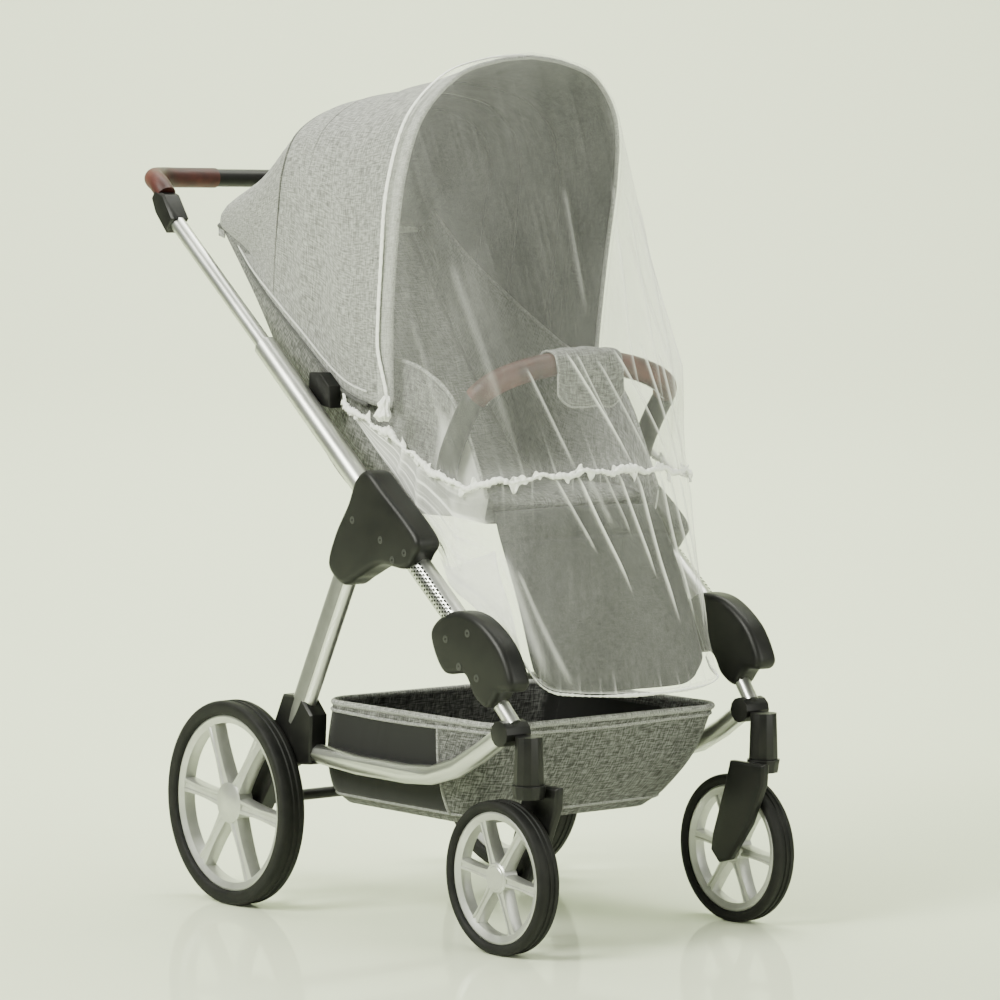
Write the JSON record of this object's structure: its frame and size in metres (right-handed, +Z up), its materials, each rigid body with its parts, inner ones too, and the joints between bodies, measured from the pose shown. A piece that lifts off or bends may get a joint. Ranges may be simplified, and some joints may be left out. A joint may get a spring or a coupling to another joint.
{
  "type": "stroller mosquito net on a stroller",
  "caption": "Sheer net with an elastic edge that slips over a stroller's hood, bumper bar and foot end, shown on the plain stroller it fits.",
  "frame": {"origin": "centre of the bounding box on the floor, under the tyres", "axes": "+Z up, +Y towards the push handle, +X towards the left-hand side of the child in the seat"},
  "size_m": [0.532, 0.934, 1.1768],
  "materials": {
    "net_mesh": "sheer fine mesh",
    "elastic": "gathered soft white elastic",
    "hood_cloth": "light grey melange weave",
    "seat_cloth": "grey melange weave",
    "leg_cloth": "dark grey melange weave",
    "leather": "brown, cross-stitched seam",
    "aluminium": "satin",
    "black_plastic": "fine grain",
    "tyre": "matt",
    "rim_plastic": "smooth",
    "basket_cloth": "grey melange weave with dark mesh"
  },
  "bodies": {
    "root": {"net_upper": "net_mesh", "net_lower": "net_mesh", "waist_ruffle": "elastic", "hood_binding": "elastic", "hem_elastic": "elastic", "hood_shell": "hood_cloth", "seat_shell": "seat_cloth", "seat_liner": "seat_cloth", "leg_rest": "leg_cloth", "bumper_bar": "leather", "bumper_cover": "hood_cloth", "rear_axle": "black_plastic", "handle_adjuster": "black_plastic", "basket": "basket_cloth", "corner_bunch_near": "elastic", "corner_bunch_far": "elastic", "bumper_elbow_near": "black_plastic", "bumper_elbow_far": "black_plastic", "handle_tube_near": "aluminium", "handle_tube_far": "aluminium", "side_tube_near": "aluminium", "side_tube_far": "aluminium", "frame_hub_near": "black_plastic", "frame_hub_far": "black_plastic", "rear_leg_near": "aluminium", "rear_leg_far": "aluminium", "frame_knee_near": "black_plastic", "frame_knee_far": "black_plastic", "front_leg_near": "aluminium", "front_leg_far": "aluminium", "floor_tube_near": "aluminium", "floor_tube_far": "aluminium", "rear_bracket_near": "black_plastic", "rear_bracket_far": "black_plastic", "caster_head_near": "black_plastic", "caster_head_far": "black_plastic", "caster_fork_near": "black_plastic", "caster_fork_far": "black_plastic", "front_pin_near": "black_plastic", "front_pin_far": "black_plastic", "tyre_rear_near": "tyre", "tyre_rear_far": "tyre", "rim_rear_near": "rim_plastic", "rim_rear_far": "rim_plastic", "tyre_front_near": "tyre", "tyre_front_far": "tyre", "rim_front_near": "rim_plastic", "rim_front_far": "rim_plastic", "handle_grip_near": "leather", "handle_grip_far": "leather", "handle_joint_near": "black_plastic", "handle_joint_far": "black_plastic", "seat_mount_near": "black_plastic", "seat_mount_far": "black_plastic", "hood_hinge_near": "black_plastic", "hood_hinge_far": "black_plastic"}
  },
  "joints": []
}
